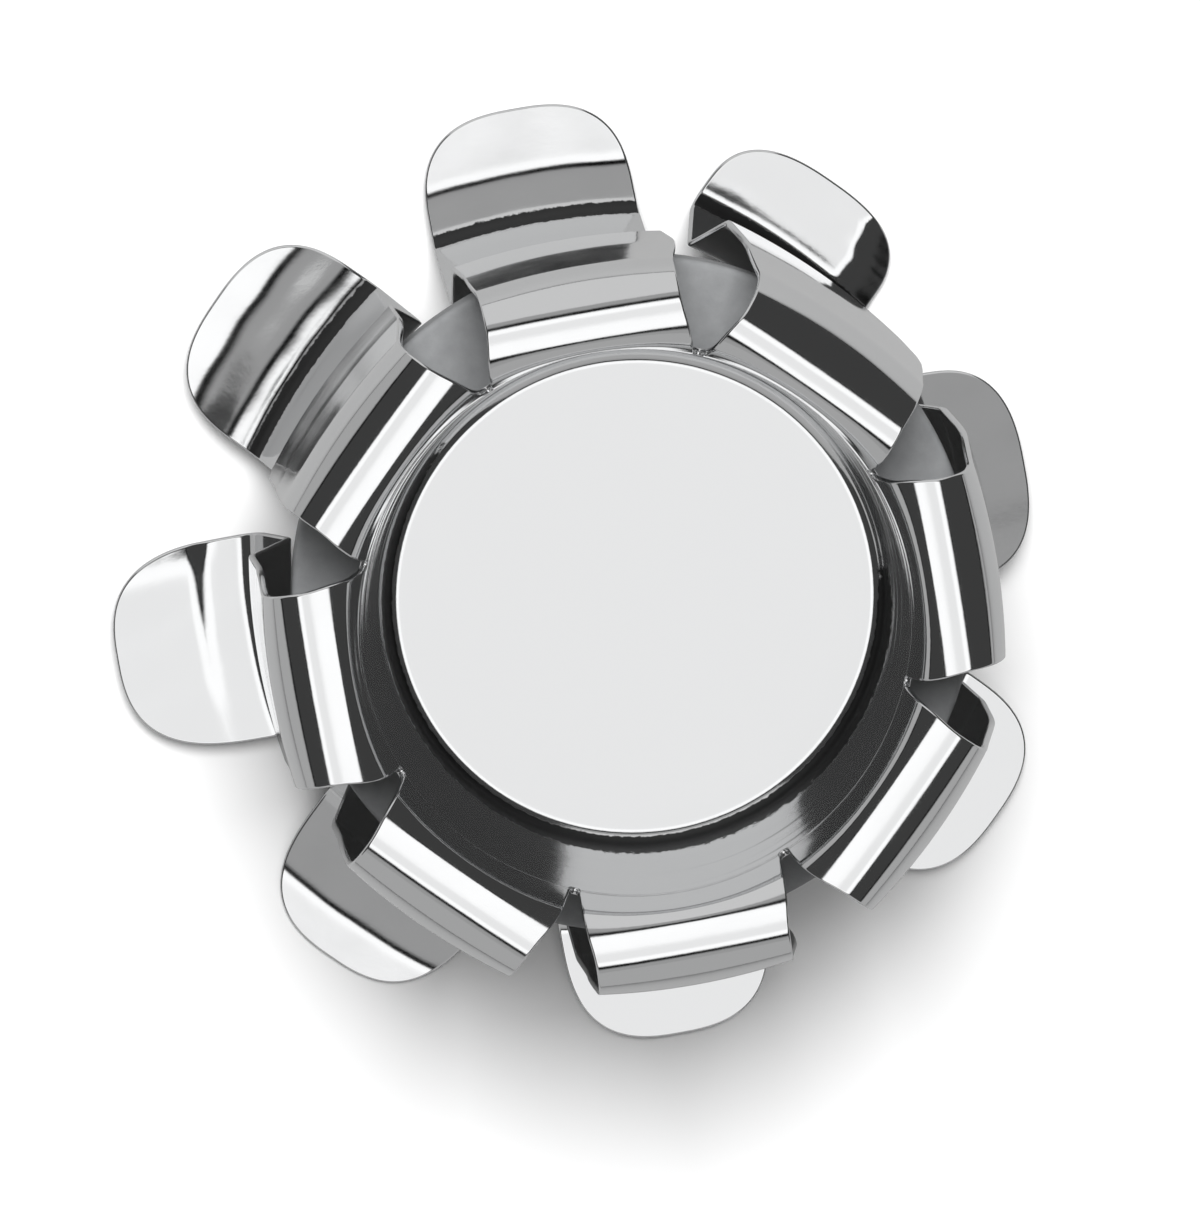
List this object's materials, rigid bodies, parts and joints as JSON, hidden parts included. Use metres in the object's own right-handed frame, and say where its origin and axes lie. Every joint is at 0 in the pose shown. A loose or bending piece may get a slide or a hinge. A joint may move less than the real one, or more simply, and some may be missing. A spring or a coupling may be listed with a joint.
{
  "type": "nozzle protective cap",
  "caption": "Push-on protective cap for a fire-suppression spray nozzle: a recessed steel cup with spring fingers that grip the rim, flared lift paddles and a flat seal.",
  "frame": {"origin": "centre of the seal disc's underside, where the nozzle's rim sits", "axes": "+Z along the cap's axis towards its closed side; +X out through finger 1; the fingers are numbered counter-clockwise seen from +Z"},
  "size_m": [0.0259, 0.0266, 0.0153],
  "materials": {
    "cup_steel": "bright polished stainless sheet",
    "finger_steel": "bright polished stainless sheet with fine forming marks",
    "seal_rubber": "matte grey elastomer"
  },
  "bodies": {
    "cap": {"cup_shell": "cup_steel", "seal_disc": "seal_rubber"},
    "finger_1": {"spring_finger_1": "finger_steel"},
    "finger_2": {"spring_finger_2": "finger_steel"},
    "finger_3": {"spring_finger_3": "finger_steel"},
    "finger_4": {"spring_finger_4": "finger_steel"},
    "finger_5": {"spring_finger_5": "finger_steel"},
    "finger_6": {"spring_finger_6": "finger_steel"},
    "finger_7": {"spring_finger_7": "finger_steel"},
    "finger_8": {"spring_finger_8": "finger_steel"}
  },
  "joints": [
    {"name": "finger_1_flex", "type": "hinge", "parent": "cap", "child": "finger_1", "pos_m": [0.00676, -0.00002, 0.00525], "axis": [0, -1, 0], "range_deg": [-1, 10], "stiffness_Nm_per_rad": 0.002},
    {"name": "finger_2_flex", "type": "hinge", "parent": "cap", "child": "finger_2", "pos_m": [0.0047, 0.00494, 0.00525], "axis": [0.7071, -0.7071, 0], "range_deg": [-1, 10], "stiffness_Nm_per_rad": 0.002},
    {"name": "finger_3_flex", "type": "hinge", "parent": "cap", "child": "finger_3", "pos_m": [-0.00026, 0.007, 0.00525], "axis": [1, 0, 0], "range_deg": [-1, 10], "stiffness_Nm_per_rad": 0.002},
    {"name": "finger_4_flex", "type": "hinge", "parent": "cap", "child": "finger_4", "pos_m": [-0.00522, 0.00494, 0.00525], "axis": [0.7071, 0.7071, 0], "range_deg": [-1, 10], "stiffness_Nm_per_rad": 0.002},
    {"name": "finger_5_flex", "type": "hinge", "parent": "cap", "child": "finger_5", "pos_m": [-0.00728, -0.00002, 0.00525], "axis": [0, 1, 0], "range_deg": [-1, 10], "stiffness_Nm_per_rad": 0.002},
    {"name": "finger_6_flex", "type": "hinge", "parent": "cap", "child": "finger_6", "pos_m": [-0.00522, -0.00499, 0.00525], "axis": [-0.7071, 0.7071, 0], "range_deg": [-1, 10], "stiffness_Nm_per_rad": 0.002},
    {"name": "finger_7_flex", "type": "hinge", "parent": "cap", "child": "finger_7", "pos_m": [-0.00026, -0.00704, 0.00525], "axis": [-1, 0, 0], "range_deg": [-1, 10], "stiffness_Nm_per_rad": 0.002},
    {"name": "finger_8_flex", "type": "hinge", "parent": "cap", "child": "finger_8", "pos_m": [0.0047, -0.00499, 0.00525], "axis": [-0.7071, -0.7071, 0], "range_deg": [-1, 10], "stiffness_Nm_per_rad": 0.002}
  ]
}
